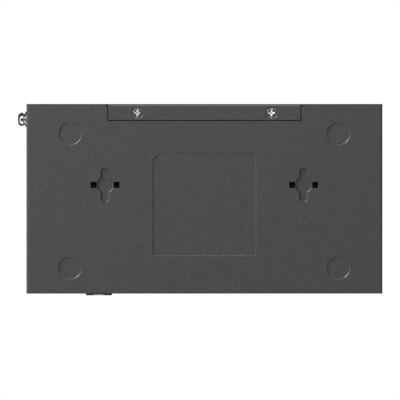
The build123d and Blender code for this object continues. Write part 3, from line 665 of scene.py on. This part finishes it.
def make_shade_card(name, hole, rim, height, finish):
    """A card with a hole, both (half length, half width), that shades the walls and isn't seen itself."""
    card = stage_plane(name, 2.0 * rim[1], height)
    bpy.ops.object.mode_set(mode="EDIT")
    bpy.ops.mesh.select_all(action="SELECT")
    bpy.ops.mesh.inset(thickness=rim[1] - hole[1], depth=0.0)
    bpy.ops.object.mode_set(mode="OBJECT")
    middle = min(card.data.polygons, key=lambda face: face.center.length)
    middle_number, middle_corners = middle.index, set(middle.vertices)
    for corner in card.data.vertices:
        half_length, half_width = hole if corner.index in middle_corners else rim
        corner.co.x = math.copysign(half_length, corner.co.x)
        corner.co.y = math.copysign(half_width, corner.co.y)
    pick_faces(card, lambda face: face.index == middle_number)
    bpy.ops.mesh.delete(type="ONLY_FACE")
    bpy.ops.object.mode_set(mode="OBJECT")
    card.data.materials.append(finish)
    card.visible_camera = False
    card.visible_diffuse = False
    card.visible_glossy = False
    card.visible_transmission = False


floor = stage_plane("floor", floor_size, -floor_drop)
floor.data.materials.append(floor_finish())
black_cloth = cloth_finish()
make_shade_card("shade_card", round_case(card_gap), card_rim, -card_drop, black_cloth)
make_shade_card("shade_strip", round_case(strip_gap), round_case(strip_reach), strip_rise, black_cloth)


# Lamps, with each one's place, side length and watts

lamps = [
    ("lamp_graze_below", (3.0, 3.0, -0.9), 1.0, 250.0),
    ("lamp_key_below", (2.4, 2.2, -2.0), 0.8, 42.0),
    ("lamp_left_below", (2.6, 0.4, -3.2), 1.2, 38.0),
    ("lamp_rear_below", (0.0, 2.6, -3.2), 1.2, 50.0),
    ("lamp_front_below", (0.3, -3.2, -0.8), 1.2, 19.0),
    ("lamp_key_above", (-0.7, -0.8, 1.0), 0.6, 14.0),
    ("lamp_fill_above", (0.9, 0.5, 0.9), 0.8, 7.0),
]


def add_lamp(name, place, side, watts):
    """A square soft lamp that points at the router's middle."""
    light = bpy.data.lights.new(name, "AREA")
    light.shape = "SQUARE"
    light.size = side
    light.energy = watts
    light.cycles.use_multiple_importance_sampling = False
    lamp = bpy.data.objects.new(name, light)
    scene.collection.objects.link(lamp)
    lamp.location = place
    lamp.rotation_euler = Vector(place).to_track_quat("Z", "Y").to_euler()


for lamp_values in lamps:
    add_lamp(*lamp_values)


# World

def mirrored_room(sky):
    """What shiny parts mirror: a white room below, dark above, round the camera and on the west side."""
    white = 1.0
    dark = 0.03
    west_dark = 0.04
    band_white = 0.7
    rim_north, rim_east = 0.3, 0.5
    eye_north, eye_up = 0.19, 0.98
    least_reach = 0.001
    split = sky.nodes.new("ShaderNodeSeparateXYZ")
    sky.links.new(sky.nodes.new("ShaderNodeTexCoord").outputs["Generated"], split.inputs[0])
    east, north, up = split.outputs

    # The dark above reaches further down in the east and the north
    rim = add_math(sky, "MULTIPLY_ADD", north, rim_north, up)
    rim = add_math(sky, "MULTIPLY_ADD", east, rim_east, rim)
    below = smooth_range(sky, rim, start=-0.24, end=-0.14, before=white, after=dark)

    # The dark hole round the camera is shifted a little to the south
    eye = add_math(sky, "MULTIPLY_ADD", north, eye_north, add_math(sky, "MULTIPLY", up, eye_up))
    off_camera = smooth_range(sky, eye, start=-0.93, end=-0.88, before=dark, after=white)

    # A pale band crosses the dark west side, low in the room
    band_foot = smooth_range(sky, up, start=-0.88, end=-0.82, before=0.0, after=band_white)
    band_head = smooth_range(sky, up, start=-0.6, end=-0.5, before=1.0, after=0.0)
    band = add_math(sky, "MULTIPLY", band_foot, band_head)
    reach = add_math(sky, "MULTIPLY_ADD", east, east, add_math(sky, "MULTIPLY", north, north))
    reach = add_math(sky, "MAXIMUM", add_math(sky, "SQRT", reach), least_reach)
    bearing = add_math(sky, "DIVIDE", east, reach)
    off_west = smooth_range(sky, bearing, start=-0.95, end=-0.7, before=west_dark, after=white)

    room = add_math(sky, "MULTIPLY", below, off_camera)
    return add_math(sky, "MULTIPLY", room, add_math(sky, "MAXIMUM", off_west, band))


def make_studio():
    """White for the camera, dim for matt parts, and a room for shiny parts."""
    matt_level = 0.2
    open_level = 1.0
    world = bpy.data.worlds.new("studio")
    scene.world = world
    world.use_nodes = True
    sky = world.node_tree
    sky.nodes.clear()
    rays = sky.nodes.new("ShaderNodeLightPath").outputs
    in_view = add_math(sky, "MAXIMUM", rays["Is Camera Ray"], rays["Is Transmission Ray"])
    level = blend(sky, rays["Is Glossy Ray"], matt_level, mirrored_room(sky))
    level = blend(sky, in_view, level, open_level)
    background = sky.nodes.new("ShaderNodeBackground")
    set_inputs(sky, background, Color=(1.0, 1.0, 1.0, 1.0), Strength=level)
    output = sky.nodes.new("ShaderNodeOutputWorld")
    sky.links.new(background.outputs["Background"], output.inputs["Surface"])


make_studio()


# Camera, below the case and looking straight up

camera_place = (2.505 * mm, -0.66 * mm, -1260.0 * mm)
view = bpy.data.cameras.new("camera")
view.lens = 200.0
view.sensor_width = 36.0
camera = bpy.data.objects.new("camera", view)
scene.collection.objects.link(camera)
camera.location = camera_place
camera.rotation_euler = (0.0, math.pi, 0.0)
bpy.context.scene.camera = camera
bpy.context.scene.view_settings.view_transform = "Standard"
